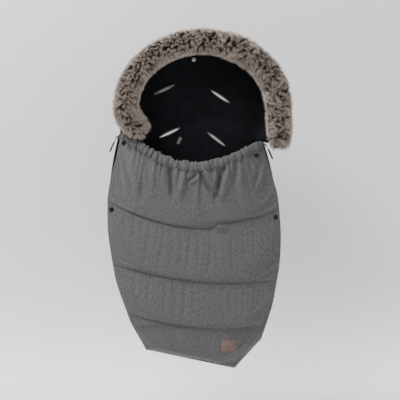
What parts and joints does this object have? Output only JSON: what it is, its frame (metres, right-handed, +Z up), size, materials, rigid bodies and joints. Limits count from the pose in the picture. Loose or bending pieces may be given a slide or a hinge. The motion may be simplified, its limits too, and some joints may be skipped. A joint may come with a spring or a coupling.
{
  "type": "pushchair footmuff",
  "caption": "Quilted winter footmuff for a pushchair: zipped folding front, turn-down collar, bound harness slots and a gathered hood with a fur edge.",
  "frame": {"origin": "rear face of the back, in the middle of the hanging loop", "axes": "+X to the viewer's right across the front, +Z up towards the hood, front faces -Y, as it hangs"},
  "size_m": [0.5009, 0.1396, 0.923],
  "materials": {
    "grey_melange": "matte",
    "black_fleece": "matte",
    "wadding": "matte",
    "faux_fur": "matte",
    "slot_binding": "satin",
    "zip_tape": "matte",
    "zip_teeth": "satin",
    "slider_metal": "gloss",
    "pull_rubber": "matte",
    "snap_metal": "satin",
    "leather": "satin",
    "grip_rubber": "matte",
    "webbing": "matte",
    "grey_tab": "matte",
    "elastic": "matte"
  },
  "bodies": {
    "back": {"back_shell": "grey_melange", "back_wadding": "wadding", "back_lining": "black_fleece", "left_gusset_shell": "grey_melange", "right_gusset_shell": "grey_melange", "left_gusset_lining": "black_fleece", "right_gusset_lining": "black_fleece", "pocket_shell": "grey_melange", "pocket_wadding": "wadding", "pocket_lining": "black_fleece", "leather_patch": "leather", "lower_left_slot_binding": "slot_binding", "lower_right_slot_binding": "slot_binding", "crotch_slot_binding": "slot_binding", "grip_panel": "grip_rubber", "hanging_loop": "webbing", "care_tab": "grey_tab", "left_zip_back_tape": "zip_tape", "right_zip_back_tape": "zip_tape", "left_zip_back_teeth": "zip_teeth", "right_zip_back_teeth": "zip_teeth", "zip_top_stops": "zip_teeth", "zip_bottom_stops": "zip_teeth"},
    "hood": {"hood_back_shell": "grey_melange", "hood_back_wadding": "wadding", "hood_back_lining": "black_fleece", "hood_shell": "grey_melange", "hood_wadding": "wadding", "hood_lining": "black_fleece", "hood_hem": "grey_melange", "hood_elastic": "elastic", "fur_trim": "faux_fur", "upper_left_slot_binding": "slot_binding", "upper_right_slot_binding": "slot_binding"},
    "front_cover": {"cover_shell": "grey_melange", "cover_wadding": "wadding", "cover_lining": "black_fleece", "cover_snaps": "snap_metal", "left_zip_cover_tape": "zip_tape", "right_zip_cover_tape": "zip_tape", "left_zip_cover_teeth": "zip_teeth", "right_zip_cover_teeth": "zip_teeth"},
    "collar": {"collar_shell": "grey_melange", "collar_wadding": "wadding", "collar_lining": "black_fleece", "neck_casing": "grey_melange", "neck_elastic": "elastic", "collar_snaps": "snap_metal", "left_zip_collar_tape": "zip_tape", "right_zip_collar_tape": "zip_tape", "left_zip_collar_teeth": "zip_teeth", "right_zip_collar_teeth": "zip_teeth"},
    "left_slider": {"left_slider": "slider_metal"},
    "right_slider": {"right_slider": "slider_metal"},
    "left_pull": {"left_pull": "pull_rubber"},
    "right_pull": {"right_pull": "pull_rubber"}
  },
  "joints": [
    {"name": "hood_fold", "type": "hinge", "parent": "back", "child": "hood", "pos_m": [0, 0.0015, 0.035], "axis": [-1, 0, 0], "range_deg": [0, 80]},
    {"name": "cover_fold", "type": "hinge", "parent": "back", "child": "front_cover", "pos_m": [0, -0.089, -0.533], "axis": [1, 0, 0], "range_deg": [0, 150]},
    {"name": "collar_fold", "type": "hinge", "parent": "front_cover", "child": "collar", "pos_m": [0, -0.107, -0.142], "axis": [1, 0, 0], "range_deg": [0, 165]},
    {"name": "left_slider_run", "type": "hinge", "parent": "back", "child": "left_slider", "pos_m": [0.537, -0.034, -0.22], "axis": [0, -1, 0], "range_deg": [0, 35.9]},
    {"name": "right_slider_run", "type": "hinge", "parent": "back", "child": "right_slider", "pos_m": [-0.556, -0.034, -0.289], "axis": [0, 1, 0], "range_deg": [0, 33]},
    {"name": "left_pull_swing", "type": "hinge", "parent": "left_slider", "child": "left_pull", "pos_m": [-0.20554, -0.034, -0.0235], "axis": [0, 1, 0], "range_deg": [0, 130]},
    {"name": "right_pull_swing", "type": "hinge", "parent": "right_slider", "child": "right_pull", "pos_m": [0.2013, -0.034, -0.0435], "axis": [0, -1, 0], "range_deg": [0, 55]}
  ]
}
